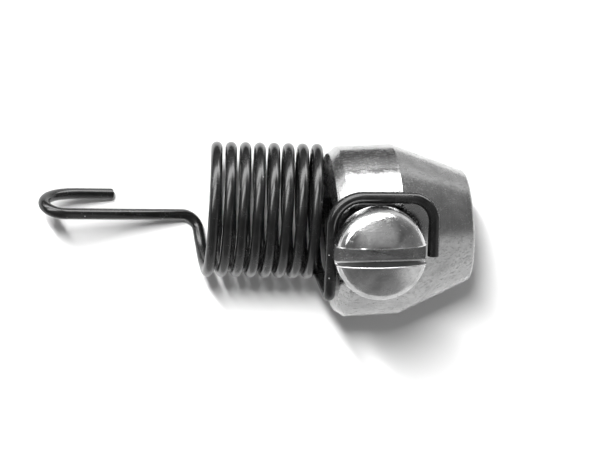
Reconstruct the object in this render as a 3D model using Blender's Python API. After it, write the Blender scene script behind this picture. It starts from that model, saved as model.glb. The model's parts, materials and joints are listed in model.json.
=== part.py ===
"""Tension spring hooked to a turned collar by a slotted screw.

The unit lies on the floor plane Z = 0 as it would on a bench: on the collar's cylinder and
on the far end of the coil. +X runs from the spring's hook to the collar's nose, +Z is up.
The screw stands on the collar's axis and leans towards -Y by ROLL.
The spring is one bent wire. Its turns are separate nodes so that it can stretch.
"""
import math

import bmesh
import bpy
from mathutils import Matrix, Vector

MM = 0.001
GAP = 0.3 * MM
CUT_OVERRUN = 1.0 * MM
ARC_CORNER = 1 - math.cos(math.pi / 4)

# Collar, turned about its axis. X is counted from the screw's axis.
COLLAR_R = 12.0 * MM
BACK_X = -4.85 * MM
BACK_CHAMFER_LENGTH = 1.35 * MM
BACK_CHAMFER_DEPTH = 1.0 * MM
CYLINDER_END_X = 4.14 * MM
NOSE_X = 14.5 * MM
NOSE_R = 7.95 * MM
NOSE_EDGE = 0.6 * MM
BORE_R = 5.0 * MM
BORE_CHAMFER = 0.5 * MM
COLLAR_SEGMENTS = 48

# Screw and spacer, turned about the screw's axis. Heights are counted from the collar's axis.
# The M8 x 1.25 thread is a plain shank with a clearance all round.
ROLL = math.radians(12.0)
THREAD_R = 4.0 * MM
SCREW_TIP_H = 5.4 * MM
TIP_CHAMFER = 0.8 * MM
SPOT_FACE_H = 10.6 * MM
SPOT_FACE_R = 5.9 * MM
SPACER_R = 5.5 * MM
SPACER_BASE_H = SPOT_FACE_H + 0.25 * MM
SPACER_TOP_H = 13.6 * MM
HEAD_BASE_H = SPACER_TOP_H + 0.25 * MM
HEAD_R = 6.3 * MM
HEAD_SIDE_TOP_H = 16.2 * MM
HEAD_SHOULDER_R = 5.99 * MM
HEAD_SHOULDER_H = 17.24 * MM
HEAD_DOME_EDGE_R = 5.15 * MM
HEAD_DOME_EDGE_H = 17.95 * MM
HEAD_TOP_H = 19.1 * MM
SLOT_WIDTH = 2.4 * MM
SLOT_FLOOR_H = 15.3 * MM
SLOT_YAW = math.radians(-1.3)
SCREW_SEGMENTS = 40

# Spring wire and coil. The coil's axis ends where its last full turn ends. The hook's cut end
# rests on the floor, and the coil stays a little above it.
WIRE_R = 0.8 * MM
COIL_R = 8.75 * MM
PITCH = 2.02 * MM
TURNS = 8
END_TURN_CLOSING = 0.78
COIL_YAW = math.radians(-3.8)
COIL_TILT = math.radians(2.2)
COIL_END_X = -5.54 * MM
COIL_END_Y = 2.9 * MM
COIL_LENGTH = TURNS * PITCH
COIL_FLOOR_GAP = 0.134 * MM
RISER_LEAVES = math.radians(-12)
SEAM = math.radians(-20)
STEPS_PER_TURN = 22
BEVEL_RESOLUTION = 2

# Loop of wire round the spacer, in the screw's frame. A riser carries the wire up to it.
LOOP_H = 12.75 * MM
LOOP_YAW = math.radians(-3.0)
LOOP_LEFT_X = -6.35 * MM
LOOP_RIGHT_X = 7.75 * MM
LOOP_TOP_Y = 7.15 * MM
LOOP_BOTTOM_Y = -6.8 * MM
LOOP_END_Y = -1.0 * MM
RISER_BEND_R = 1.5 * MM
LOOP_LEFT_BEND_R = 4.2 * MM
LOOP_RIGHT_BEND_R = 3.3 * MM

# Hook at the free end: a rising leg, then a hand-made U bend, tight at the leg and open
# towards the return run, which comes back lower down. RETURN_FROM counts from the leg's end.
HOOK_LEAVES = math.radians(-67)
HOOK_OPENING = 0.45 * MM
LEG_RUN_IN = 2.95 * MM
LEG_BEND_R = 2.2 * MM
LEG_LENGTH = 20.72 * MM
LEG_RISE = math.radians(25)
LEG_AZIMUTH = math.radians(2.7)
RETURN_FROM = Vector((1.55 * MM, 2.87 * MM, -6.02 * MM))
U_BEND_TIGHT = 3.8 * MM
U_BEND_OPEN = 7.6 * MM
U_BEND_STEPS = 14
RETURN_LENGTH = 5.8 * MM
ARC_STEPS = 6


def clear_scene():
    for item in list(bpy.data.objects):
        bpy.data.objects.remove(item, do_unlink=True)


def material(name, colour, metallic, roughness):
    made = bpy.data.materials.new(name)
    made.use_nodes = True
    shader = made.node_tree.nodes["Principled BSDF"]
    shader.inputs["Base Color"].default_value = (*colour, 1.0)
    shader.inputs["Metallic"].default_value = metallic
    shader.inputs["Roughness"].default_value = roughness
    return made


def empty(name, parent, matrix):
    made = bpy.data.objects.new(name, None)
    made.empty_display_size = 5 * MM
    made.parent = parent
    made.matrix_local = matrix
    bpy.context.collection.objects.link(made)
    return made


def add_object(name, data, parent, finish):
    made = bpy.data.objects.new(name, data)
    made.parent = parent
    if finish:
        data.materials.append(finish)
    bpy.context.collection.objects.link(made)
    return made


def turned(name, profile, segments, parent, finish, closed=False):
    """Revolve (radius, height) points about Z, listed from the bottom up the outer side.

    A closed profile is a ring; otherwise the first and last points lie on the axis.
    Flats, not corners, face the four sides.
    """
    shape = bmesh.new()
    rings = []
    for radius, height in profile:
        if radius == 0:
            rings.append([shape.verts.new((0, 0, height))])
            continue
        ring = []
        for step in range(segments):
            angle = 2 * math.pi * (step + 0.5) / segments
            ring.append(shape.verts.new((radius * math.cos(angle), radius * math.sin(angle), height)))
        rings.append(ring)
    pairs = list(zip(rings, rings[1:]))
    if closed:
        pairs.append((rings[-1], rings[0]))
    for low, high in pairs:
        for step in range(segments):
            after = (step + 1) % segments
            if len(low) == 1:
                shape.faces.new((low[0], high[after], high[step]))
            elif len(high) == 1:
                shape.faces.new((low[step], low[after], high[0]))
            else:
                shape.faces.new((low[step], low[after], high[after], high[step]))
    mesh = bpy.data.meshes.new(name)
    shape.to_mesh(mesh)
    shape.free()
    mesh.shade_smooth()
    mesh.set_sharp_from_angle(angle=math.radians(35))
    return add_object(name, mesh, parent, finish)


def cutter(item):
    item.hide_render = True
    item.display_type = "WIRE"
    return item


def cut(item, tool):
    modifier = item.modifiers.new("cut_" + tool.name, "BOOLEAN")
    modifier.operation = "DIFFERENCE"
    modifier.object = tool


def wire(name, points, parent, finish):
    """A round wire through the points, with flat cut ends."""
    data = bpy.data.curves.new(name, "CURVE")
    data.dimensions = "3D"
    data.bevel_depth = WIRE_R
    data.bevel_resolution = BEVEL_RESOLUTION
    data.use_fill_caps = True
    data.render_resolution_u = 0
    spline = data.splines.new("POLY")
    spline.points.add(len(points) - 1)
    for slot, point in zip(spline.points, points):
        slot.co = (*point, 1.0)
    return add_object(name, data, parent, finish)


def filleted(corners, radii):
    """The corners joined by straight runs, with an arc of the given radius at each inner one."""
    path = [corners[0]]
    for before, corner, after, radius in zip(corners, corners[1:], corners[2:], radii):
        to_before = (before - corner).normalized()
        to_after = (after - corner).normalized()
        half = to_before.angle(to_after) / 2
        centre = corner + (to_before + to_after).normalized() * (radius / math.sin(half))
        first = corner + to_before * (radius / math.tan(half)) - centre
        turn = math.pi - 2 * half
        axis = to_after.cross(to_before).normalized()
        for step in range(ARC_STEPS + 1):
            path.append(centre + Matrix.Rotation(turn * step / ARC_STEPS, 3, axis) @ first)
    path.append(corners[-1])
    return path


# Frames of the unit: the collar's axis, the screw's axis and the coil's axis.
COLLAR_AXIS_H = COLLAR_R * math.cos(math.pi / COLLAR_SEGMENTS)
SCREW_FRAME = Matrix.Translation((0, 0, COLLAR_AXIS_H)) @ Matrix.Rotation(ROLL, 4, "X")
COIL_END_Z = COIL_R + WIRE_R + COIL_FLOOR_GAP + COIL_LENGTH * math.sin(COIL_TILT)
COIL_FRAME = (Matrix.Translation((COIL_END_X, COIL_END_Y, COIL_END_Z))
              @ Matrix.Rotation(COIL_YAW, 4, "Z") @ Matrix.Rotation(-COIL_TILT, 4, "Y"))


def coil_point(angle):
    """A point on the coil's centreline. Angle 0 is the start of the first turn, at -Y."""
    turns_left = angle / (2 * math.pi) - TURNS
    if turns_left > -0.5:
        turns_left = -0.5 + (turns_left + 0.5) * END_TURN_CLOSING
    along = turns_left * PITCH
    if angle < 0:
        along -= HOOK_OPENING * angle * angle
    return COIL_FRAME @ Vector((along, -COIL_R * math.cos(angle), COIL_R * math.sin(angle)))


def coil_points(start, end):
    steps = max(2, round(STEPS_PER_TURN * (end - start) / (2 * math.pi)))
    return [coil_point(start + (end - start) * step / steps) for step in range(steps + 1)]


def coil_direction(angle):
    return (coil_point(angle + 0.001) - coil_point(angle - 0.001)).normalized()


def loop_point(x, y):
    return SCREW_FRAME @ Matrix.Rotation(LOOP_YAW, 4, "Z") @ Vector((x, y, LOOP_H))


def anchor_loop_points(start):
    leaves = 2 * math.pi * TURNS + RISER_LEAVES
    arc = coil_points(start, leaves)
    corners = [arc[-1], loop_point(LOOP_LEFT_X, LOOP_BOTTOM_Y), loop_point(LOOP_LEFT_X, LOOP_TOP_Y),
               loop_point(LOOP_RIGHT_X, LOOP_TOP_Y), loop_point(LOOP_RIGHT_X, LOOP_END_Y)]
    bends = [RISER_BEND_R, LOOP_LEFT_BEND_R, LOOP_RIGHT_BEND_R]
    return arc[:-1] + filleted(corners, bends)


def hook_points(end):
    arc = coil_points(HOOK_LEAVES, end)
    leg = Vector((-math.cos(LEG_RISE) * math.cos(LEG_AZIMUTH),
                  math.cos(LEG_RISE) * math.sin(LEG_AZIMUTH), math.sin(LEG_RISE)))
    corner = arc[0] - coil_direction(HOOK_LEAVES) * LEG_RUN_IN
    leg_end = corner + leg * LEG_LENGTH
    return_start = leg_end + RETURN_FROM
    u_bend = []
    for step in range(1, U_BEND_STEPS + 1):
        share = step / U_BEND_STEPS
        out = leg_end.lerp(leg_end + leg * U_BEND_TIGHT, share)
        top = (leg_end + leg * U_BEND_TIGHT).lerp(return_start + leg * U_BEND_OPEN, share)
        back = (return_start + leg * U_BEND_OPEN).lerp(return_start, share)
        u_bend.append(out.lerp(top, share).lerp(top.lerp(back, share), share))
    tip = return_start - leg * RETURN_LENGTH
    shank = filleted([leg_end, corner, arc[0]], [LEG_BEND_R])
    return [tip] + u_bend[::-1] + shank + arc[1:]


def make_collar(unit, steel, cutter_parent):
    """The collar, with the screw's hole cut from its axis out through the spot face."""
    axis = empty("collar_axis", unit, Matrix.Translation((0, 0, COLLAR_AXIS_H))
                 @ Matrix.Rotation(math.pi / 2, 4, "Y"))
    profile = [(BORE_R + BORE_CHAMFER, BACK_X),
               (COLLAR_R - BACK_CHAMFER_DEPTH, BACK_X),
               (COLLAR_R, BACK_X + BACK_CHAMFER_LENGTH),
               (COLLAR_R, CYLINDER_END_X),
               (NOSE_R, NOSE_X - NOSE_EDGE),
               (NOSE_R - ARC_CORNER * NOSE_EDGE, NOSE_X - ARC_CORNER * NOSE_EDGE),
               (NOSE_R - NOSE_EDGE, NOSE_X),
               (BORE_R + BORE_CHAMFER, NOSE_X),
               (BORE_R, NOSE_X - BORE_CHAMFER),
               (BORE_R, BACK_X + BORE_CHAMFER)]
    collar = turned("collar", profile, COLLAR_SEGMENTS, axis, steel, closed=True)
    hole_top = COLLAR_R + CUT_OVERRUN
    hole = [(0, 0), (THREAD_R + GAP, 0), (THREAD_R + GAP, SPOT_FACE_H), (SPOT_FACE_R, SPOT_FACE_H),
            (SPOT_FACE_R, hole_top), (0, hole_top)]
    cut(collar, cutter(turned("screw_hole_cutter", hole, SCREW_SEGMENTS, cutter_parent, None)))


def make_spacer(screw_axis, steel):
    bore = THREAD_R + GAP
    profile = [(bore, SPACER_BASE_H),
               (SPACER_R, SPACER_BASE_H),
               (SPACER_R, SPACER_TOP_H),
               (bore, SPACER_TOP_H)]
    turned("spacer_washer", profile, SCREW_SEGMENTS, screw_axis, steel, closed=True)


def make_screw(screw_axis, steel):
    profile = [(0, SCREW_TIP_H),
               (THREAD_R - TIP_CHAMFER, SCREW_TIP_H),
               (THREAD_R, SCREW_TIP_H + TIP_CHAMFER),
               (THREAD_R, HEAD_BASE_H),
               (HEAD_R, HEAD_BASE_H),
               (HEAD_R, HEAD_SIDE_TOP_H),
               (HEAD_SHOULDER_R, HEAD_SHOULDER_H),
               (HEAD_DOME_EDGE_R, HEAD_DOME_EDGE_H),
               (HEAD_DOME_EDGE_R / 2, HEAD_TOP_H - (HEAD_TOP_H - HEAD_DOME_EDGE_H) / 4),
               (0, HEAD_TOP_H)]
    screw = turned("slotted_screw", profile, SCREW_SEGMENTS, screw_axis, steel)
    slot_mesh = bpy.data.meshes.new("slot_cutter")
    shape = bmesh.new()
    bmesh.ops.create_cube(shape, size=1.0)
    slot_top = HEAD_TOP_H + CUT_OVERRUN
    bmesh.ops.scale(shape, vec=(3 * HEAD_R, SLOT_WIDTH, slot_top - SLOT_FLOOR_H), verts=shape.verts)
    shape.to_mesh(slot_mesh)
    shape.free()
    slot = add_object("slot_cutter", slot_mesh, screw_axis, None)
    slot.location = (0, 0, (slot_top + SLOT_FLOOR_H) / 2)
    slot.rotation_euler = (0, 0, SLOT_YAW)
    cut(screw, cutter(slot))


def make_spring(screw_axis, steel):
    """The wire from the hook's tip to the loop's tip, split into the pieces that move."""
    to_axis = SCREW_FRAME.inverted()
    half_gap = GAP / 2 / COIL_R

    def add_wire(name, points):
        wire(name, [to_axis @ point for point in points], screw_axis, steel)

    add_wire("spring_hook", hook_points(SEAM - half_gap))
    for turn in range(TURNS):
        start = SEAM + 2 * math.pi * turn
        add_wire(f"spring_turn_{turn + 1}", coil_points(start + half_gap, start + 2 * math.pi - half_gap))
    add_wire("spring_anchor_loop", anchor_loop_points(SEAM + 2 * math.pi * TURNS + half_gap))


def centre_on_floor(unit):
    """Move the unit so that the bottom centre of its box is the origin."""
    bpy.context.view_layer.update()
    depsgraph = bpy.context.evaluated_depsgraph_get()
    low = Vector((math.inf,) * 3)
    high = -low
    for item in bpy.data.objects:
        if item.type == "EMPTY" or item.hide_render:
            continue
        shown = item.evaluated_get(depsgraph)
        for vertex in shown.to_mesh().vertices:
            point = item.matrix_world @ vertex.co
            low = Vector(map(min, low, point))
            high = Vector(map(max, high, point))
        shown.to_mesh_clear()
    unit.location -= Vector(((low.x + high.x) / 2, (low.y + high.y) / 2, low.z))
    bpy.context.view_layer.update()


def main():
    clear_scene()
    turned_steel = material("turned_steel", (0.56, 0.56, 0.57), 1.0, 0.3)
    screw_steel = material("screw_steel", (0.5, 0.5, 0.51), 1.0, 0.28)
    black_wire = material("black_spring_wire", (0.02, 0.02, 0.022), 0.6, 0.35)
    unit = empty("unit", None, Matrix.Identity(4))
    screw_axis = empty("screw_axis", unit, SCREW_FRAME)
    make_collar(unit, turned_steel, screw_axis)
    make_spacer(screw_axis, screw_steel)
    make_screw(screw_axis, screw_steel)
    make_spring(screw_axis, black_wire)
    centre_on_floor(unit)


main()
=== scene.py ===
"""Looks for the hooked extension spring with its screw collar: wire, collar, spacer and screw.

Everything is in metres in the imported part's frame. +X runs from the hook to the collar's nose,
+Z is up, and the part lies on the floor.
"""

import json
import math

import bpy
from mathutils import Matrix, Quaternion, Vector


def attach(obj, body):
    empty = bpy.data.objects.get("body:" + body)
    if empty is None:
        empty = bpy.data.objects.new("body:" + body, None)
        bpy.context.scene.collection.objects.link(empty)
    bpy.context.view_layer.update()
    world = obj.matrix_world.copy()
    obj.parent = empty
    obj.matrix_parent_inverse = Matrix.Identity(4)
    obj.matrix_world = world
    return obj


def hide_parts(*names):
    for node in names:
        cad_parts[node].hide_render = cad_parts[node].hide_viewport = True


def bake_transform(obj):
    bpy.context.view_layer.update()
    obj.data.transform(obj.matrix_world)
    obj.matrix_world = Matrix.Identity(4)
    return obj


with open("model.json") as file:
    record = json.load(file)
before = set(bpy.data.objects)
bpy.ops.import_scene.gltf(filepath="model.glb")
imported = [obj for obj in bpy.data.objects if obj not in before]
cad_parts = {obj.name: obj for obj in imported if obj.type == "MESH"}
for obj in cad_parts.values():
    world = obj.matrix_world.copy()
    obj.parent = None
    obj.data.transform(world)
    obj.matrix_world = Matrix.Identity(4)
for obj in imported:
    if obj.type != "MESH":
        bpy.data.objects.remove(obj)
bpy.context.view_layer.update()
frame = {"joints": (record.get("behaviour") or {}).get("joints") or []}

MM = 0.001
MICRON = 1e-6
# Lengths within this ratio of each other count as equal.
ROUNDING = 1.0001

# The screw's axis crosses the collar's axis at PIVOT.
joints = {joint["name"]: joint for joint in frame["joints"]}
PIVOT = Vector(joints["screw_turn"]["pos_m"])
ROLL = math.radians(12.0)
SCREW_FRAME = Matrix.Translation(PIVOT) @ Matrix.Rotation(ROLL, 4, "X")
COLLAR_FRAME = Matrix.Translation(PIVOT) @ Matrix.Rotation(math.pi / 2, 4, "Y")
UNIT = Matrix.Translation((PIVOT.x, PIVOT.y, 0))

# Wire and coil, as in the CAD.
WIRE_R = 0.8 * MM
COIL_R = 8.75 * MM
PITCH = 2.02 * MM
TURNS = 8
END_TURN_CLOSING = 0.78
COIL_YAW = math.radians(-3.8)
COIL_TILT = math.radians(2.2)
COIL_END = Vector((-5.54 * MM, 2.9 * MM, 0.0))
COIL_LENGTH = TURNS * PITCH
COIL_FLOOR_GAP = 0.134 * MM
RISER_LEAVES = math.radians(-12)
SEAM = math.radians(-20)
COIL_END.z = COIL_R + WIRE_R + COIL_FLOOR_GAP + COIL_LENGTH * math.sin(COIL_TILT)
COIL_FRAME = (UNIT @ Matrix.Translation(COIL_END)
              @ Matrix.Rotation(COIL_YAW, 4, "Z") @ Matrix.Rotation(-COIL_TILT, 4, "Y"))

LOOP_H = 12.75 * MM
LOOP_YAW = math.radians(-3.0)
LOOP_LEFT_X = -6.35 * MM
LOOP_RIGHT_X = 7.75 * MM
LOOP_TOP_Y = 7.15 * MM
LOOP_BOTTOM_Y = -6.8 * MM
LOOP_END_Y = -1.0 * MM
LOOP_BENDS = (1.5 * MM, 4.2 * MM, 3.3 * MM)

HOOK_LEAVES = math.radians(-67)
HOOK_OPENING = 0.45 * MM
LEG_RUN_IN = 2.95 * MM
LEG_BEND_R = 2.2 * MM
LEG_LENGTH = 20.72 * MM
LEG_RISE = math.radians(25)
LEG_AZIMUTH = math.radians(2.7)
RETURN_FROM = Vector((1.55, 2.87, -6.02)) * MM
U_BEND_TIGHT = 3.8 * MM
U_BEND_OPEN = 7.6 * MM
RETURN_LENGTH = 5.8 * MM

WIRE_SIDES = 24
STEPS_PER_QUARTER = 24
BEND_STEPS = 20
# Sheared end of the wire: (share of the wire's radius, distance before the very end).
WIRE_END = ((0.955, 0.05 * MM), (0.86, 0.012 * MM), (0.6, 0.0), (0.0, 0.012 * MM))
WIRE_END_LENGTH = 0.13 * MM
LEAD_IN_STEPS = 12
LEAD_OUT_STEPS = 3

# Collar, turned about its axis. X is counted from the screw's axis.
COLLAR_R = 12.0 * MM
BACK_X = -4.85 * MM
BACK_CHAMFER_LENGTH = 1.35 * MM
BACK_CHAMFER_DEPTH = 1.0 * MM
CYLINDER_END_X = 4.14 * MM
NOSE_X = 14.5 * MM
NOSE_R = 7.70 * MM
BORE_R = 5.0 * MM
BORE_CHAMFER = 0.5 * MM
# Radii of the collar's corners, in the order in which collar_profile lists them.
COLLAR_ROUNDS = (0.05 * MM, 0.14 * MM, 0.14 * MM, 0.1 * MM, 0.75 * MM, 0.05 * MM, 0.05 * MM, 0.05 * MM)
COLLAR_SEGMENTS = 192
# A face is a turned one if it lies this near to the profile and faces its way.
ON_PROFILE = 0.02 * MM
SAME_WAY = 0.99

# Screw and spacer. Heights are counted along the screw's axis from PIVOT.
THREAD_R = 4.0 * MM
THREAD_PITCH = 1.25 * MM
THREAD_DEPTH = 0.68 * MM
THREAD_RUN_OUT_H = 13.3 * MM
THREAD_RINGS_PER_TURN = 10
THREAD_GAP = 0.3 * MM
SCREW_TIP_H = 5.4 * MM
SCREW_TIP_R = 3.2 * MM
SPOT_FACE_H = 10.6 * MM
SPOT_FACE_R = 5.9 * MM
TAPPED_MOUTH = 0.35 * MM
HOLE_AXIS_R = 0.01 * MM
HOLE_SEGMENTS = 96
SPACER_R = 5.5 * MM
SPACER_BASE_H = 10.85 * MM
SPACER_TOP_H = 13.6 * MM
SPACER_EDGE = 0.15 * MM
SPACER_SEGMENTS = 128
HEAD_BASE_H = 13.85 * MM
HEAD_BASE_R = 6.3 * MM
HEAD_TOP_H = 19.1 * MM
DOME_EDGE_R = 5.15 * MM
DOME_EDGE_H = 17.95 * MM
HEAD_SIDE_ROWS = (15.9 * MM, 15.6 * MM)
HEAD_LOWER_ROW = 14.7 * MM
HEAD_UNDER_EDGE = 0.22 * MM
DOME_STEPS = 15
SHOULDER_STEPS = 14
HEAD_STEPS = 72
SLOT_HALF = 1.2 * MM
SLOT_FLOOR_H = 15.3 * MM
SLOT_YAW = math.radians(-1.3)
SLOT_EDGE = 0.22 * MM
SLOT_BURR = 0.2 * MM
# Each side of the slot has its own waves: (side, phase).
SLOT_SIDES = ((1, 0.4), (-1, 2.7))
SLOT_EDGE_STEPS = 5
SLOT_END_STEPS = 8
ROOT_WIDTH = 0.26 * MM
ROOT_RISE = 0.09 * MM
ROOT_SUNK = 0.02 * MM
ROOT_EDGE = 0.05 * MM

# Studio.
ROOM_R = 1.5
ROOM_SEGMENTS = 96
BACKDROP_STEPS = 12
FLOOR_DROP = 0.03 * MM
BACKDROP_GLOW = 0.93
# Reflected strips of the table: nearest and farthest Y, left and right X, and brightness.
CARDS = ((0.024, 0.060, -0.1, 0.028, 0.17),
         (0.060, 0.30, -0.1, 0.052, 0.40),
         (0.020, 0.060, 0.028, 0.15, 0.62),
         (0.060, 0.30, 0.052, 0.30, 0.80),
         (-0.30, -0.018, -0.1, 0.15, 0.86))
WALL_GLOW = 0.34
ZENITH_GLOW = 0.12
CEILING_GLOW = 0.34
CORNER_GLOW = 0.5
# Soft boxes: centre, the point that they face, width, height and turn about their own axis.
OVERHEAD_BOX = ((-0.244, 0.275, 0.45), (-0.244, 0.275, 0.0), 0.68, 0.25, math.radians(25))
WINDOW_BOX = ((-0.38, 0.72, 0.355), (-0.38, 0, 0.355), 1.44, 0.35, 0.0)
SIDE_WINDOW_BOX = ((0.74, 0.72, 0.17), (0.74, 0, 0.17), 0.8, 0.32, 0.0)
KEY_BOX = ((-0.166, 0.25, 0.72), (0, 0, 0.01), 0.04, 0.31, 0.0)
BOX_GLOW = 9.0
KEY_GLOW = 228.0

# Camera. The aim is counted from PIVOT across and up the picture, and the distance along the view.
CAMERA_RISE = 0.0458
CAMERA_LEAN = 0.113
CAMERA_AIM = Vector((9.027, -0.705, -385.0)) * MM
CAMERA_LENS = 163.8


# ---------------------------------------------------------------- materials

class Shader:
    """A Principled material whose inputs are wired up node by node."""

    def __init__(self, name, tilt=0.0, **constants):
        self.material = bpy.data.materials.new(name)
        self.material.use_nodes = True
        self.tree = self.material.node_tree
        self.principled = self.tree.nodes["Principled BSDF"]
        for socket, value in constants.items():
            self.principled.inputs[socket.replace("_", " ")].default_value = value
        coordinates = self.add("ShaderNodeTexCoord").outputs["Object"]
        inputs = {"Vector": coordinates, "Location": PIVOT, "Rotation": (tilt, 0, 0)}
        self.place = self.add("ShaderNodeMapping", inputs, vector_type="TEXTURE").outputs["Vector"]

    def add(self, kind, inputs=None, **settings):
        node = self.tree.nodes.new(kind)
        for key, value in settings.items():
            setattr(node, key, value)
        for key, value in (inputs or {}).items():
            if isinstance(value, bpy.types.NodeSocket):
                self.tree.links.new(value, node.inputs[key])
            else:
                node.inputs[key].default_value = value
        return node

    def per_mm(self, x, y=None, z=None):
        """Object coordinates scaled to so many features per millimetre along each axis."""
        y = x if y is None else y
        z = x if z is None else z
        scale = (x / MM, y / MM, z / MM)
        return self.add("ShaderNodeMapping", {"Vector": self.place, "Scale": scale}).outputs["Vector"]

    def noise(self, where, detail=3.0, roughness=0.55, distortion=0.0):
        inputs = {"Vector": where, "Scale": 1.0, "Detail": detail, "Roughness": roughness,
                  "Distortion": distortion}
        return self.add("ShaderNodeTexNoise", inputs).outputs["Fac"]

    def ramp(self, value, low, high, out_low=0.0, out_high=1.0):
        """value mapped from low..high to out_low..out_high, held at both ends."""
        inputs = {"Value": value, "From Min": low, "From Max": high,
                  "To Min": out_low, "To Max": out_high}
        return self.add("ShaderNodeMapRange", inputs).outputs["Result"]

    def math(self, operation, a, b):
        return self.add("ShaderNodeMath", {0: a, 1: b}, operation=operation).outputs["Value"]

    def mix(self, share, a, b):
        node = self.add("ShaderNodeMix", {"Factor": share}, data_type="RGBA")
        for key, value in (("A", a), ("B", b)):
            socket = [s for s in node.inputs if s.name == key and s.type == "RGBA"][0]
            if isinstance(value, bpy.types.NodeSocket):
                self.tree.links.new(value, socket)
            else:
                socket.default_value = (*value, 1.0)
        return [s for s in node.outputs if s.type == "RGBA"][0]

    def bump(self, height, distance, strength=1.0, normal=None):
        inputs = {"Height": height, "Distance": distance, "Strength": strength}
        if normal is not None:
            inputs["Normal"] = normal
        return self.add("ShaderNodeBump", inputs).outputs["Normal"]

    def drive(self, socket, value):
        self.tree.links.new(value, self.principled.inputs[socket])


def grey(value):
    return (value, value, value)


def turned_steel(name, marks, base, dark, rough_low, rough_high, scuffs=0.0, painted_shade_r=0.0):
    """Machined steel. marks gives the cutter marks' density per mm along each axis.

    scuffs is how strongly small rubbed spots show. Near-black painted shade, standing for the
    shadow of the wire and the screw's head round the seat, reaches out to the given radius
    from the screw's axis.
    """
    shader = Shader(name, ROLL, Metallic=1.0)
    cloud = shader.noise(shader.per_mm(0.28), detail=5.0, roughness=0.62, distortion=0.6)
    stain = shader.noise(shader.per_mm(0.9), detail=6.0, roughness=0.68, distortion=0.9)
    streak = shader.noise(shader.per_mm(*marks), detail=2.5, roughness=0.6)
    grain = shader.noise(shader.per_mm(16.0), detail=2.0)
    tone = shader.mix(shader.ramp(cloud, 0.36, 0.66), grey(dark), grey(base))
    tone = shader.mix(shader.ramp(stain, 0.54, 0.72, 0.0, 0.45), tone, grey(dark * 0.6))
    tone = shader.mix(shader.ramp(streak, 0.35, 0.65, 0.0, 0.2), tone, grey(base * 1.12))
    rubbed = shader.noise(shader.per_mm(1.1, 2.6, 2.6), detail=5.0, roughness=0.72, distortion=0.5)
    rubbed = shader.ramp(rubbed, 0.5, 0.64, 0.0, scuffs)
    tone = shader.mix(rubbed, tone, grey(base * 0.5))
    # Painted shade: a near-black ring round the screw's axis stands in for the shadow of the wire and
    # the head.
    if painted_shade_r:
        across = shader.add("ShaderNodeVectorMath", {0: shader.place, 1: (1.0, 1.0, 0.0)},
                            operation="MULTIPLY")
        reach = shader.add("ShaderNodeVectorMath", {0: across.outputs["Vector"]}, operation="LENGTH")
        painted_shade = shader.ramp(reach.outputs["Value"], painted_shade_r, painted_shade_r - 0.25 * MM, 0.0, 0.95)
        tone = shader.mix(painted_shade, tone, grey(0.02))
    shader.drive("Base Color", tone)
    gloss = shader.math("ADD", shader.ramp(cloud, 0.3, 0.7, rough_low, rough_high),
                        shader.ramp(stain, 0.45, 0.75, 0.0, 0.12))
    gloss = shader.math("ADD", gloss, shader.math("MULTIPLY", rubbed, 0.35))
    shader.drive("Roughness", shader.math("ADD", gloss, shader.ramp(streak, 0.3, 0.7, -0.03, 0.04)))
    marks_bump = shader.bump(streak, 3.0 * MICRON, 0.5)
    pits = shader.ramp(shader.noise(shader.per_mm(5.0), detail=4.0, roughness=0.7), 0.62, 0.72)
    pit_bump = shader.bump(pits, -4.0 * MICRON, 0.5, marks_bump)
    shader.drive("Normal", shader.bump(grain, 1.2 * MICRON, 0.4, pit_bump))
    return shader.material


def black_wire_finish():
    """Oiled black oxide on drawn wire, with a little white dust."""
    shader = Shader("black_spring_wire", IOR=1.52)
    cloud = shader.noise(shader.per_mm(0.45), detail=4.0, roughness=0.6, distortion=0.4)
    fine = shader.noise(shader.per_mm(4.0), detail=4.0, roughness=0.65)
    tone = shader.mix(shader.ramp(cloud, 0.35, 0.68), grey(0.004), grey(0.012))
    tone = shader.mix(shader.ramp(fine, 0.62, 0.78, 0.0, 0.5), tone, grey(0.03))
    dots = shader.add("ShaderNodeTexVoronoi", {"Vector": shader.per_mm(0.9), "Scale": 1.0})
    near = shader.ramp(dots.outputs["Distance"], 0.085, 0.05)
    rare = shader.add("ShaderNodeSeparateColor", {"Color": dots.outputs["Color"]}).outputs["Red"]
    dust = shader.math("MULTIPLY", near, shader.ramp(rare, 0.82, 0.84))
    shader.drive("Base Color", shader.mix(dust, tone, grey(0.55)))
    gloss = shader.math("ADD", shader.ramp(cloud, 0.3, 0.7, 0.19, 0.26),
                        shader.ramp(fine, 0.4, 0.7, 0.0, 0.05))
    shader.drive("Roughness", shader.math("ADD", gloss, shader.ramp(dust, 0.0, 1.0, 0.0, 0.4)))
    shader.drive("Normal", shader.bump(fine, 0.8 * MICRON, 0.3))
    return shader.material


# ---------------------------------------------------------------- mesh tools

def mesh_piece(name, vertices, faces, finish, place=None, sharp=30.0):
    mesh = bpy.data.meshes.new(name)
    if place is not None:
        vertices = [place @ Vector(v) for v in vertices]
    mesh.from_pydata([tuple(v) for v in vertices], [], faces)
    mesh.shade_smooth()
    mesh.set_sharp_from_angle(angle=math.radians(sharp))
    mesh.materials.append(finish)
    piece = bpy.data.objects.new(name, mesh)
    bpy.context.scene.collection.objects.link(piece)
    return piece


def arc_corner(before, corner, after, radius, steps):
    """Points on the arc that rounds a corner, in two or three dimensions."""
    to_before = (before - corner).normalized()
    to_after = (after - corner).normalized()
    half = to_before.angle(to_after) / 2
    centre = corner + (to_before + to_after).normalized() * (radius / math.sin(half))
    first = corner + to_before * (radius / math.tan(half)) - centre
    last = corner + to_after * (radius / math.tan(half)) - centre
    turn = math.pi - 2 * half
    points = []
    for step in range(steps + 1):
        share = step / steps
        mixed = (first * math.sin((1 - share) * turn) + last * math.sin(share * turn)) / math.sin(turn)
        points.append(centre + mixed)
    return points


def filleted(corners, radii, steps):
    path = [corners[0]]
    for before, corner, after, radius in zip(corners, corners[1:], corners[2:], radii):
        path += arc_corner(before, corner, after, radius, steps) if radius else [corner]
    path.append(corners[-1])
    return path


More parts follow.
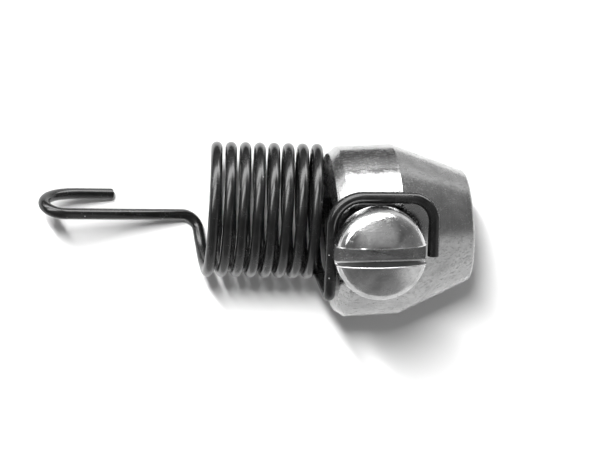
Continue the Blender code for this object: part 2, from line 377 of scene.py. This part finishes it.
def ring_faces(low, high):
    """Quads between two rings of vertex numbers, wound to face out when low is below high."""
    count = len(low)
    return [(low[i], low[(i + 1) % count], high[(i + 1) % count], high[i]) for i in range(count)]


def revolved(profile, segments, closed):
    """Vertices and faces of (radius, height) points turned about Z, listed up the outer side."""
    vertices = []
    rings = []
    for radius, height in profile:
        rings.append(range(len(vertices), len(vertices) + segments))
        for step in range(segments):
            angle = 2 * math.pi * step / segments
            vertices.append((radius * math.cos(angle), radius * math.sin(angle), height))
    faces = []
    for low, high in zip(rings, rings[1:] + ([rings[0]] if closed else [])):
        faces += ring_faces(low, high)
    return vertices, faces, rings


# ---------------------------------------------------------------- spring wire

def coil_point(angle):
    """A point on the coil's centreline. Angle 0 is the start of the first turn, at -Y."""
    turns_left = angle / (2 * math.pi) - TURNS
    if turns_left > -0.5:
        turns_left = -0.5 + (turns_left + 0.5) * END_TURN_CLOSING
    along = turns_left * PITCH
    if angle < 0:
        along -= HOOK_OPENING * angle * angle
    return COIL_FRAME @ Vector((along, -COIL_R * math.cos(angle), COIL_R * math.sin(angle)))


def coil_direction(angle):
    return (coil_point(angle + 0.001) - coil_point(angle - 0.001)).normalized()


def hook_path():
    """The hook's centreline from its cut end to where the coil begins."""
    start = coil_point(HOOK_LEAVES)
    leg = Vector((-math.cos(LEG_RISE) * math.cos(LEG_AZIMUTH),
                  math.cos(LEG_RISE) * math.sin(LEG_AZIMUTH), math.sin(LEG_RISE)))
    corner = start - coil_direction(HOOK_LEAVES) * LEG_RUN_IN
    leg_end = corner + leg * LEG_LENGTH
    return_start = leg_end + RETURN_FROM
    u_bend = []
    for step in range(2 * BEND_STEPS + 1):
        share = 1 - step / (2 * BEND_STEPS)
        out = leg_end.lerp(leg_end + leg * U_BEND_TIGHT, share)
        top = (leg_end + leg * U_BEND_TIGHT).lerp(return_start + leg * U_BEND_OPEN, share)
        back = (return_start + leg * U_BEND_OPEN).lerp(return_start, share)
        u_bend.append(out.lerp(top, share).lerp(top.lerp(back, share), share))
    tip = return_start - leg * RETURN_LENGTH
    shank = arc_corner(leg_end, corner, start, LEG_BEND_R, BEND_STEPS)
    return [tip] + u_bend + shank + [start]


def loop_point(x, y):
    return SCREW_FRAME @ Matrix.Rotation(LOOP_YAW, 4, "Z") @ Vector((x, y, LOOP_H))


def loop_path():
    """The riser and the loop, from where the wire leaves the coil to its cut end."""
    start = coil_point(2 * math.pi * TURNS + RISER_LEAVES)
    corners = [start, loop_point(LOOP_LEFT_X, LOOP_BOTTOM_Y), loop_point(LOOP_LEFT_X, LOOP_TOP_Y),
               loop_point(LOOP_RIGHT_X, LOOP_TOP_Y), loop_point(LOOP_RIGHT_X, LOOP_END_Y)]
    return filleted(corners, LOOP_BENDS, BEND_STEPS)


def transported_frames(path):
    """Two unit vectors across the wire at each point, carried along without twisting."""
    directions = []
    for index in range(len(path)):
        before = path[max(index - 1, 0)]
        after = path[min(index + 1, len(path) - 1)]
        directions.append((after - before).normalized())
    across = directions[0].orthogonal().normalized()
    frames = []
    for direction in directions:
        across = (across - direction * across.dot(direction)).normalized()
        frames.append((direction, across, direction.cross(across)))
    return frames


def wire_piece(name, path, frames, first, last, finish, start_cut=False, end_cut=False):
    """The stretch of wire from point number first to last, with sheared ends where cut."""
    rings = []
    for index in range(first, last + 1):
        direction, across, over = frames[index]
        rings.append((path[index], direction, across, over, 1.0, True))

    def cut_end(index, outwards):
        direction, across, over = frames[index]
        made = []
        for share, back in WIRE_END:
            centre = path[index] - direction * outwards * back
            made.append((centre, direction, across, over, share, False))
        return made

    if start_cut:
        centre, direction, across, over, share, smooth = rings[0]
        rings[0] = (centre + direction * WIRE_END_LENGTH, direction, across, over, share, smooth)
        rings = cut_end(first, -1)[::-1] + rings
    if end_cut:
        centre, direction, across, over, share, smooth = rings[-1]
        rings[-1] = (centre - direction * WIRE_END_LENGTH, direction, across, over, share, smooth)
        rings += cut_end(last, 1)
    vertices = []
    normals = []
    numbers = []
    for centre, direction, across, over, share, smooth in rings:
        if share == 0.0:
            numbers.append([len(vertices)])
            vertices.append(centre)
            normals.append(Vector((0, 0, 0)))
            continue
        numbers.append(range(len(vertices), len(vertices) + WIRE_SIDES))
        for side in range(WIRE_SIDES):
            angle = 2 * math.pi * side / WIRE_SIDES
            outward = across * math.cos(angle) + over * math.sin(angle)
            vertices.append(centre + outward * WIRE_R * share)
            normals.append(outward if smooth else Vector((0, 0, 0)))
    faces = []
    for low, high in zip(numbers, numbers[1:]):
        if len(low) == 1:
            faces += [(low[0], high[(i + 1) % WIRE_SIDES], high[i]) for i in range(WIRE_SIDES)]
        elif len(high) == 1:
            faces += [(low[i], low[(i + 1) % WIRE_SIDES], high[0]) for i in range(WIRE_SIDES)]
        else:
            faces += ring_faces(low, high)
    piece = mesh_piece(name, vertices, faces, finish, sharp=50.0)
    piece.data.normals_split_custom_set_from_vertices(normals)
    return piece


def blend_quarter(piece):
    """Bakes a quarter turn's placement into its mesh."""
    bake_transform(piece)


def make_spring(finish):
    """Makes the whole wire and returns its pieces."""
    hook = hook_path()[:-1]
    coil = []
    for step in range(LEAD_IN_STEPS):
        coil.append(coil_point(HOOK_LEAVES + (SEAM - HOOK_LEAVES) * step / LEAD_IN_STEPS))
    seam_number = len(hook) + len(coil)
    quarters = 4 * TURNS
    for step in range(quarters * STEPS_PER_QUARTER):
        coil.append(coil_point(SEAM + math.pi / 2 * step / STEPS_PER_QUARTER))
    for step in range(LEAD_OUT_STEPS):
        angle = SEAM + (RISER_LEAVES - SEAM) * step / LEAD_OUT_STEPS
        coil.append(coil_point(2 * math.pi * TURNS + angle))
    path = hook + coil + loop_path()
    frames = transported_frames(path)
    piece = wire_piece("spring_wire_hook", path, frames, 0, seam_number, finish, start_cut=True)
    pieces = [piece]
    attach(piece, "hook")
    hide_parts("spring_hook")
    for quarter in range(quarters):
        first = seam_number + quarter * STEPS_PER_QUARTER
        name = f"spring_wire_turn_{quarter // 4 + 1}_{quarter % 4 + 1}"
        piece = wire_piece(name, path, frames, first, first + STEPS_PER_QUARTER, finish)
        pieces.append(piece)
        blend_quarter(piece)
        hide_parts(f"spring_turn_{quarter // 4 + 1}")
    first = seam_number + quarters * STEPS_PER_QUARTER
    piece = wire_piece("spring_wire_loop", path, frames, first, len(path) - 1, finish, end_cut=True)
    pieces.append(piece)
    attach(piece, "spring_anchor")
    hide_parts("spring_anchor_loop")
    return pieces


# ---------------------------------------------------------------- collar

def profile_normals(profile):
    """For each edge of a closed (radius, height) profile, the normals at its two ends."""
    count = len(profile)
    edges = []
    for index in range(count):
        along = (profile[(index + 1) % count] - profile[index]).normalized()
        edges.append(Vector((along.y, -along.x)))
    ends = []
    for index in range(count):
        pair = []
        for other in (index - 1, (index + 1) % count):
            near = edges[index].dot(edges[other]) > math.cos(math.radians(20))
            pair.append((edges[index] + edges[other]).normalized() if near else edges[index])
        ends.append(pair)
    return ends


def collar_profile():
    corners = [Vector((BORE_R + BORE_CHAMFER, BACK_X)),
               Vector((COLLAR_R - BACK_CHAMFER_DEPTH, BACK_X)),
               Vector((COLLAR_R, BACK_X + BACK_CHAMFER_LENGTH)),
               Vector((COLLAR_R, CYLINDER_END_X)),
               Vector((NOSE_R, NOSE_X)),
               Vector((BORE_R + BORE_CHAMFER, NOSE_X)),
               Vector((BORE_R, NOSE_X - BORE_CHAMFER)),
               Vector((BORE_R, BACK_X + BORE_CHAMFER))]
    profile = []
    for index, (corner, radius) in enumerate(zip(corners, COLLAR_ROUNDS)):
        after = corners[(index + 1) % len(corners)]
        steps = 8 if radius > 0.5 * MM else 4
        profile += arc_corner(corners[index - 1], corner, after, radius, steps)
    return profile


def share_along(spot, start, edge):
    return min(1.0, max(0.0, (spot - start).dot(edge) / edge.length_squared))


def nearest_edge(profile, spot):
    """How far a (radius, height) point is from the closed profile, and the nearest edge's number."""
    distances = []
    for index, start in enumerate(profile):
        edge = profile[(index + 1) % len(profile)] - start
        distances.append(((spot - start - edge * share_along(spot, start, edge)).length, index))
    return min(distances)


def drill_screw_hole(collar, finish):
    """Cut the tapped hole and the spot face for the screw's head out of the collar."""
    tapped_r = THREAD_R + THREAD_GAP
    over = COLLAR_R + 1 * MM
    hole = [(HOLE_AXIS_R, 0.0), (tapped_r, 0.0), (tapped_r, SPOT_FACE_H - TAPPED_MOUTH),
            (tapped_r + TAPPED_MOUTH, SPOT_FACE_H), (SPOT_FACE_R, SPOT_FACE_H), (SPOT_FACE_R, over),
            (HOLE_AXIS_R, over)]
    vertices, faces, rings = revolved(hole, HOLE_SEGMENTS, closed=False)
    faces += [tuple(rings[0])[::-1], tuple(rings[-1])]
    cutter = mesh_piece("hole_cutter", vertices, faces, finish, SCREW_FRAME)
    modifier = collar.modifiers.new("screw_hole", "BOOLEAN")
    modifier.operation = "DIFFERENCE"
    modifier.solver = "EXACT"
    modifier.object = cutter
    bpy.context.view_layer.update()
    evaluated = collar.evaluated_get(bpy.context.evaluated_depsgraph_get())
    mesh = bpy.data.meshes.new_from_object(evaluated)
    collar.modifiers.clear()
    collar.data = mesh
    bpy.data.objects.remove(cutter)


def make_collar(finish, shaded_seat_finish):
    profile = collar_profile()
    vertices, faces, _ = revolved(profile, COLLAR_SEGMENTS, closed=True)
    collar = mesh_piece("turned_collar", vertices, faces, finish, COLLAR_FRAME)
    drill_screw_hole(collar, finish)
    mesh = collar.data
    mesh.materials.append(shaded_seat_finish)
    # Turned faces are shaded by the profile's own normals. The hole's faces take the seat's near-black
    # finish, painted shade on the spot face and in the tapped hole.
    ends = profile_normals(profile)
    normals = []
    for face in mesh.polygons:
        centre = face.center - PIVOT
        distance, index = nearest_edge(profile, Vector((Vector((centre.y, centre.z)).length, centre.x)))
        start = profile[index]
        edge = profile[(index + 1) % len(profile)] - start
        flat = Vector((edge.y, -edge.x)).normalized()
        radial = Vector((0, centre.y, centre.z)).normalized()
        facing = (radial * flat.x + Vector((flat.y, 0, 0))).dot(face.normal)
        if distance > ON_PROFILE or facing < SAME_WAY:
            face.material_index = 1
            normals += [(0, 0, 0)] * len(face.loop_indices)
            continue
        for corner in face.loop_indices:
            point = mesh.vertices[mesh.loops[corner].vertex_index].co - PIVOT
            out = Vector((0, point.y, point.z))
            share = share_along(Vector((out.length, point.x)), start, edge)
            mixed = (ends[index][0] * (1 - share) + ends[index][1] * share).normalized()
            normals.append(out.normalized() * mixed.x + Vector((mixed.y, 0, 0)))
    mesh.set_sharp_from_angle(angle=math.radians(30))
    mesh.normals_split_custom_set(normals)
    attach(collar, "collar")
    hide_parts("collar")


# ---------------------------------------------------------------- spacer and screw

def make_spacer(finish):
    bore = THREAD_R + THREAD_GAP
    corners = [Vector((bore, SPACER_BASE_H)), Vector((SPACER_R, SPACER_BASE_H)),
               Vector((SPACER_R, SPACER_TOP_H)), Vector((bore, SPACER_TOP_H))]
    profile = []
    for index, corner in enumerate(corners):
        profile += arc_corner(corners[index - 1], corner, corners[(index + 1) % 4], SPACER_EDGE, 4)
    vertices, faces, _ = revolved(profile, SPACER_SEGMENTS, closed=True)
    spacer = mesh_piece("spacer_ring", vertices, faces, finish, SCREW_FRAME)
    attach(spacer, "spacer")
    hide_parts("spacer_washer")


def dome_height(radius):
    return HEAD_TOP_H - (HEAD_TOP_H - DOME_EDGE_H) * (radius / DOME_EDGE_R) ** 2


def head_profile(inner):
    """(radius, height) from the dome at radius inner to the slot floor's level, then to the base."""
    upper = []
    for step in range(DOME_STEPS):
        radius = inner + (DOME_EDGE_R - inner) * step / DOME_STEPS
        upper.append(Vector((radius, dome_height(radius))))
    # The shoulder carries on from the dome's slope and turns down to the straight side.
    slope = math.atan(2 * (HEAD_TOP_H - DOME_EDGE_H) / DOME_EDGE_R)
    shoulder_r = (HEAD_BASE_R - DOME_EDGE_R) / (1 - math.sin(slope))
    for step in range(SHOULDER_STEPS + 1):
        lean = slope + (math.pi / 2 - slope) * step / SHOULDER_STEPS
        upper.append(Vector((HEAD_BASE_R - shoulder_r * (1 - math.sin(lean)),
                             DOME_EDGE_H - shoulder_r * (math.cos(slope) - math.cos(lean)))))
    upper += [Vector((HEAD_BASE_R, height)) for height in (*HEAD_SIDE_ROWS, SLOT_FLOOR_H)]
    above = Vector((HEAD_BASE_R, HEAD_LOWER_ROW))
    base = Vector((HEAD_BASE_R, HEAD_BASE_H))
    lower = [above] + arc_corner(above, base, Vector((THREAD_R, HEAD_BASE_H)), HEAD_UNDER_EDGE, 6)
    return upper, lower


def thread_radius(angle, height):
    lap = (height / THREAD_PITCH - angle / (2 * math.pi)) % 1
    rise = min(1.0, max(0.0, (abs(2 * lap - 1) - 0.12) / 0.76))
    run_out = min(1.0, max(0.0, (height - THREAD_RUN_OUT_H) / (0.4 * MM)))
    radius = THREAD_R - THREAD_DEPTH * (1 - rise) * (1 - run_out)
    return min(radius, SCREW_TIP_R + height - SCREW_TIP_H)


def burr(x, phase):
    """Uneven height of the lip that a screwdriver has raised along the slot's edge, 0 to 1."""
    waves = math.sin(1.9 * x / MM + phase) + 0.7 * math.sin(4.3 * x / MM + 2.1 * phase)
    waves += 0.5 * math.sin(9.7 * x / MM + 0.6 * phase)
    return min(1.0, max(0.0, 0.35 + 0.4 * waves))


class HeadMesh:
    """The screw's vertices and faces. The slot lies along X before it is turned by SLOT_YAW."""

    def __init__(self):
        self.vertices = []
        self.faces = []
        self.lips = []
        self.walls = []
        self.turn = Matrix.Rotation(SLOT_YAW, 3, "Z")

    def vertex(self, x, y, z):
        self.vertices.append(self.turn @ Vector((x, y, z)))
        return len(self.vertices) - 1

    def half(self, upper, inner, side, phase):
        """One half of the head, with its wall of the slot. Returns its lowest arc and its edge."""
        rows = []
        for radius, height in upper:
            cut = math.asin(min(1.0, inner / radius))
            row = []
            for step in range(HEAD_STEPS + 1):
                angle = cut + (math.pi - 2 * cut) * step / HEAD_STEPS
                if at_slot_middle(radius, inner) and step > 0:
                    row.append(row[0])
                    continue
                x = side * radius * math.cos(angle)
                row.append(self.vertex(x, side * radius * math.sin(angle), height))
            rows.append(row)
        for low, high in zip(rows[1:], rows):
            for step in range(HEAD_STEPS):
                face = (low[step], low[step + 1], high[step + 1], high[step])
                self.faces.append(face[:3] if face[2] == face[3] else face)
        # The slot's edge runs from the start of the arc, over the dome, to its end.
        order = [(index, 1) for index in range(len(rows) - 1, 0, -1)]
        order += [(index, -1) for index in range(len(rows))]
        strips = []
        for index, end in order:
            strip = [rows[index][0 if end > 0 else HEAD_STEPS]]
            for point in slot_edge_points(upper, index, inner, side, end, phase):
                strip.append(self.vertex(*point))
            strips.append(strip)
        for before, after in zip(strips, strips[1:]):
            for step in range(SLOT_EDGE_STEPS):
                self.lips.append(len(self.faces))
                self.faces.append((before[step], after[step], after[step + 1], before[step + 1]))
        self.walls.append(len(self.faces))
        self.faces.append(tuple(strip[-1] for strip in strips[::-1]))
        return rows[-1], strips

    def floor_end(self, middle, radius, inner):
        """The arc that closes the slot's floor at one of its open ends."""
        cut = math.asin(inner / radius)
        arc = []
        for step in range(1, SLOT_END_STEPS):
            angle = middle - cut + 2 * cut * step / SLOT_END_STEPS
            arc.append(self.vertex(radius * math.cos(angle), radius * math.sin(angle), SLOT_FLOOR_H))
        return arc

    def shank(self, ring, lower):
        """Everything below the slot's floor, from the head's side down the thread to the tip."""
        angles = [math.atan2(self.vertices[number].y, self.vertices[number].x) for number in ring]
        rows = [[(radius, height)] * len(ring) for radius, height in lower]
        rows.append([(THREAD_R, HEAD_BASE_H)] * len(ring))
        height = HEAD_BASE_H
        while height > SCREW_TIP_H:
            height = max(SCREW_TIP_H, height - THREAD_PITCH / THREAD_RINGS_PER_TURN)
            rows.append([(thread_radius(angle, height), height) for angle in angles])
        previous = ring
        for row in rows:
            current = []
            for angle, (radius, height) in zip(angles, row):
                x, y = radius * math.cos(angle), radius * math.sin(angle)
                self.vertices.append(Vector((x, y, height)))
                current.append(len(self.vertices) - 1)
            self.faces += ring_faces(current, previous)
            previous = current
        self.faces.append(tuple(previous[::-1]))


def at_slot_middle(radius, inner):
    return radius <= inner * ROUNDING


def slot_edge_points(upper, index, inner, side, end, phase):
    """Points over the slot's raised edge, from just off the head's surface down to the wall."""
    radius, height = upper[index]
    towards = side * end
    later = max(1, index)
    along = (upper[later] - upper[later - 1]).normalized()
    x = towards * math.sqrt(max(0.0, radius ** 2 - SLOT_HALF ** 2))
    lip = SLOT_BURR * burr(x, phase)
    away = Vector((-towards * along.y, 0, along.x))
    if at_slot_middle(radius, inner):
        away = Vector((0, 0, 1))
        x = 0.0
    start = Vector((towards * math.sqrt(max(0.0, radius ** 2 - inner ** 2)), side * inner, height))
    corner = Vector((x, side * SLOT_HALF, height)) + away * lip
    stop = Vector((x, side * SLOT_HALF, height)) - away * SLOT_EDGE
    if height <= SLOT_FLOOR_H * ROUNDING:
        corner.z = height
        stop.z = height
    points = []
    for step in range(1, SLOT_EDGE_STEPS + 1):
        share = step / SLOT_EDGE_STEPS
        points.append(start * (1 - share) ** 2 + corner * 2 * share * (1 - share) + stop * share ** 2)
    return points


def slot_root_line(finish):
    """The raised line that the cutter has left where the slot's floor meets the wall."""
    reach = math.sqrt(HEAD_BASE_R ** 2 - SLOT_HALF ** 2) - ROOT_EDGE
    section = ((-SLOT_HALF - ROOT_SUNK, -ROOT_SUNK), (-SLOT_HALF + ROOT_WIDTH, -ROOT_SUNK),
               (-SLOT_HALF - ROOT_SUNK, ROOT_RISE))
    turn = Matrix.Rotation(SLOT_YAW, 3, "Z")
    vertices = []
    for x in (-reach, reach):
        vertices += [turn @ Vector((x, y, SLOT_FLOOR_H + z)) for y, z in section]
    faces = [(0, 2, 1), (3, 4, 5), (0, 1, 4, 3), (1, 2, 5, 4), (2, 0, 3, 5)]
    return mesh_piece("slot_root_line", vertices, faces, finish, SCREW_FRAME)


def make_screw(finish, shaded_slot_finish, burr_finish):
    inner = SLOT_HALF + SLOT_EDGE
    upper, lower = head_profile(inner)
    head = HeadMesh()
    halves = [head.half(upper, inner, side, phase) for side, phase in SLOT_SIDES]
    (top_arc, top_edge), (bottom_arc, bottom_edge) = halves
    # The slot's floor reaches round both ends, and the full ring below it starts there.
    left, right = [head.floor_end(middle, upper[-1].x, inner) for middle in (math.pi, 0.0)]
    floor = top_edge[0] + top_edge[-1][::-1] + left + bottom_edge[0] + bottom_edge[-1][::-1] + right
    floor_face = len(head.faces)
    head.faces.append(tuple(floor[::-1]))
    head.shank(top_arc + left + bottom_arc + right, lower)
    screw = mesh_piece("slotted_screw_fine", head.vertices, head.faces, finish, SCREW_FRAME)
    polygons = screw.data.polygons
    screw.data.materials.append(shaded_slot_finish)
    screw.data.materials.append(burr_finish)
    for number in head.lips:
        polygons[number].material_index = 2
    # The slot's walls take the dark slot steel: painted shade inside the slot.
    for number in head.walls:
        polygons[number].material_index = 1
    for number in head.walls + [floor_face]:
        polygons[number].use_smooth = False
    for piece in (screw, slot_root_line(burr_finish)):
        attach(piece, "screw")
        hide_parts("slotted_screw")


# ---------------------------------------------------------------- studio

def panel(name, box, glow):
    """A rectangular light of even brightness that the camera doesn't see."""
    centre, aim, width, height, roll = box
    light = bpy.data.lights.new(name, "AREA")
    light.shape = "RECTANGLE"
    light.size = width
    light.size_y = height
    light.energy = glow * math.pi * width * height
    lamp = bpy.data.objects.new(name, light)
    lamp.location = centre
    lamp.rotation_mode = "QUATERNION"
    facing = (Vector(aim) - Vector(centre)).to_track_quat("-Z", "Y")
    lamp.rotation_quaternion = facing @ Quaternion((0, 0, 1), roll)
    lamp.visible_camera = False
    bpy.context.scene.collection.objects.link(lamp)
    return lamp


def staged_sheet(name, corners, finish):
    sheet = mesh_piece(name, corners, [tuple(range(len(corners)))], finish)
    return sheet


def plain_emission(name, strength):
    material = bpy.data.materials.new(name)
    material.use_nodes = True
    tree = material.node_tree
    tree.nodes.clear()
    glow = tree.nodes.new("ShaderNodeEmission")
    glow.inputs["Strength"].default_value = strength
    out = tree.nodes.new("ShaderNodeOutputMaterial")
    tree.links.new(glow.outputs["Emission"], out.inputs["Surface"])
    return material


def make_table():
    finish = Shader("pale_floor", Roughness=0.7, IOR=1.3)
    speck = finish.ramp(finish.noise(finish.per_mm(0.05), detail=3.0), 0.3, 0.7)
    finish.drive("Base Color", finish.mix(speck, grey(0.84), grey(0.88)))
    rim = []
    for step in range(ROOM_SEGMENTS):
        angle = 2 * math.pi * step / ROOM_SEGMENTS
        rim.append((ROOM_R * math.cos(angle), ROOM_R * math.sin(angle), -FLOOR_DROP))
    staged_sheet("floor", rim, finish.material)


def make_backdrop():
    """A pale room wall that only the camera sees, for the low views."""
    profile = []
    for step in range(BACKDROP_STEPS + 1):
        angle = math.pi / 2 * step / BACKDROP_STEPS
        profile.append((ROOM_R * math.cos(angle), ROOM_R * math.sin(angle) - FLOOR_DROP))
    vertices, faces, _ = revolved(profile, ROOM_SEGMENTS, closed=False)
    wall = mesh_piece("backdrop", vertices, faces, plain_emission("pale_wall", BACKDROP_GLOW))
    wall.visible_diffuse = False
    wall.visible_glossy = False
    wall.visible_transmission = False
    wall.visible_shadow = False


def make_cards():
    """Grey strips on the table beside the part, seen only as reflections in the steel and wire."""
    for near, far, left, right, glow in CARDS:
        corners = [(left, near, 0.0), (right, near, 0.0), (right, far, 0.0), (left, far, 0.0)]
        card = staged_sheet("dark_card", corners, plain_emission("card_grey", glow))
        card.visible_camera = False
        card.visible_diffuse = False
        card.visible_transmission = False
        card.visible_shadow = False


def graded(tree, value, low, high, out_low=0.0, out_high=1.0, kind="SMOOTHSTEP"):
    node = tree.nodes.new("ShaderNodeMapRange")
    node.interpolation_type = kind
    numbers = {"From Min": low, "From Max": high, "To Min": out_low, "To Max": out_high}
    for key, number in numbers.items():
        node.inputs[key].default_value = number
    tree.links.new(value, node.inputs["Value"])
    return node.outputs["Result"]


def multiply_add(tree, *values):
    node = tree.nodes.new("ShaderNodeMath")
    node.operation = "MULTIPLY_ADD"
    for socket, value in zip(node.inputs, values):
        tree.links.new(value, socket)
    return node.outputs["Value"]


def make_room():
    """Soft light from all round, darker towards straight above."""
    world = bpy.data.worlds.new("room")
    world.use_nodes = True
    tree = world.node_tree
    direction = tree.nodes.new("ShaderNodeSeparateXYZ")
    tree.links.new(tree.nodes.new("ShaderNodeTexCoord").outputs["Generated"], direction.inputs["Vector"])
    x, y, z = direction.outputs
    glow = graded(tree, z, 0.05, 0.85, WALL_GLOW, ZENITH_GLOW, "LINEAR")
    # The ceiling is brighter from straight above towards the window.
    windowward = graded(tree, y, -0.3, 0.05, 0.0, CEILING_GLOW)
    glow = multiply_add(tree, windowward, graded(tree, z, 0.85, 0.96), glow)
    # So is the room beyond the nose, on the side away from the window.
    nosewards = graded(tree, x, 0.35, 0.7, 0.0, CORNER_GLOW)
    glow = multiply_add(tree, nosewards, graded(tree, y, -0.08, -0.42), glow)
    background = tree.nodes["Background"]
    background.inputs["Color"].default_value = (1.0, 1.0, 1.0, 1.0)
    tree.links.new(glow, background.inputs["Strength"])
    bpy.context.scene.world = world


def make_lights(spring):
    """Soft boxes that are seen in the steel and the wire, and a key light that lights the table."""
    for name, box in (("overhead_box", OVERHEAD_BOX), ("window_box", WINDOW_BOX)):
        panel(name, box, BOX_GLOW).visible_diffuse = False
    side_window = panel("side_window_box", SIDE_WINDOW_BOX, BOX_GLOW)
    side_window.visible_diffuse = False
    wire_only = bpy.data.collections.new("lit_by_side_window")
    for piece in spring:
        wire_only.objects.link(piece)
    side_window.light_linking.receiver_collection = wire_only
    panel("key_light", KEY_BOX, KEY_GLOW).visible_glossy = False


def make_camera():
    """Nearly straight down, a little from the hook's side.

    The collar's axis rises to the right of the picture.
    """
    cos_lean, sin_lean = math.cos(CAMERA_LEAN), math.sin(CAMERA_LEAN)
    cos_rise, sin_rise = math.cos(CAMERA_RISE), math.sin(CAMERA_RISE)
    x_axis = Vector((cos_lean * cos_rise, cos_lean * sin_rise, -sin_lean))
    z_axis = Vector((sin_lean * cos_rise, sin_lean * sin_rise, cos_lean))
    turn = Matrix((x_axis, z_axis.cross(x_axis), z_axis))
    data = bpy.data.cameras.new("camera")
    data.lens = CAMERA_LENS
    data.sensor_width = 36.0
    data.clip_start = 0.01
    data.clip_end = 50.0
    camera = bpy.data.objects.new("camera", data)
    camera.matrix_world = Matrix.Translation(PIVOT - turn @ CAMERA_AIM) @ turn.to_4x4()
    bpy.context.scene.collection.objects.link(camera)
    bpy.context.scene.camera = camera


# The collar's steel carries painted shade round the screw's seat, out to 6.5 mm from the screw's axis.
collar_steel = turned_steel("collar_steel", (14.0, 0.2, 0.2), 0.54, 0.4, 0.13, 0.2, 0.55, 6.5 * MM)
screw_steel = turned_steel("screw_steel", (0.6, 0.6, 12.0), 0.82, 0.5, 0.09, 0.2, 0.3)
# Dark steel for the slot's walls: painted shade inside the slot.
shaded_slot_steel = turned_steel("shaded_slot_steel", (0.3, 0.3, 9.0), 0.2, 0.1, 0.3, 0.42)
# Near-black steel for the spot face, the tapped hole and the spacer: painted shade in the gap under the
# wire and the screw's head.
shaded_seat_steel = turned_steel("shaded_seat_steel", (0.3, 0.3, 9.0), 0.06, 0.03, 0.4, 0.5)
burr_steel = turned_steel("burr_steel", (3.0, 3.0, 3.0), 0.86, 0.7, 0.22, 0.36)
spring = make_spring(black_wire_finish())
make_collar(collar_steel, shaded_seat_steel)
# The spacer takes the near-black seat steel: painted shade.
make_spacer(shaded_seat_steel)
make_screw(screw_steel, shaded_slot_steel, burr_steel)
make_table()
make_backdrop()
make_cards()
make_room()
make_lights(spring)
make_camera()
bpy.context.scene.view_settings.view_transform = "Standard"
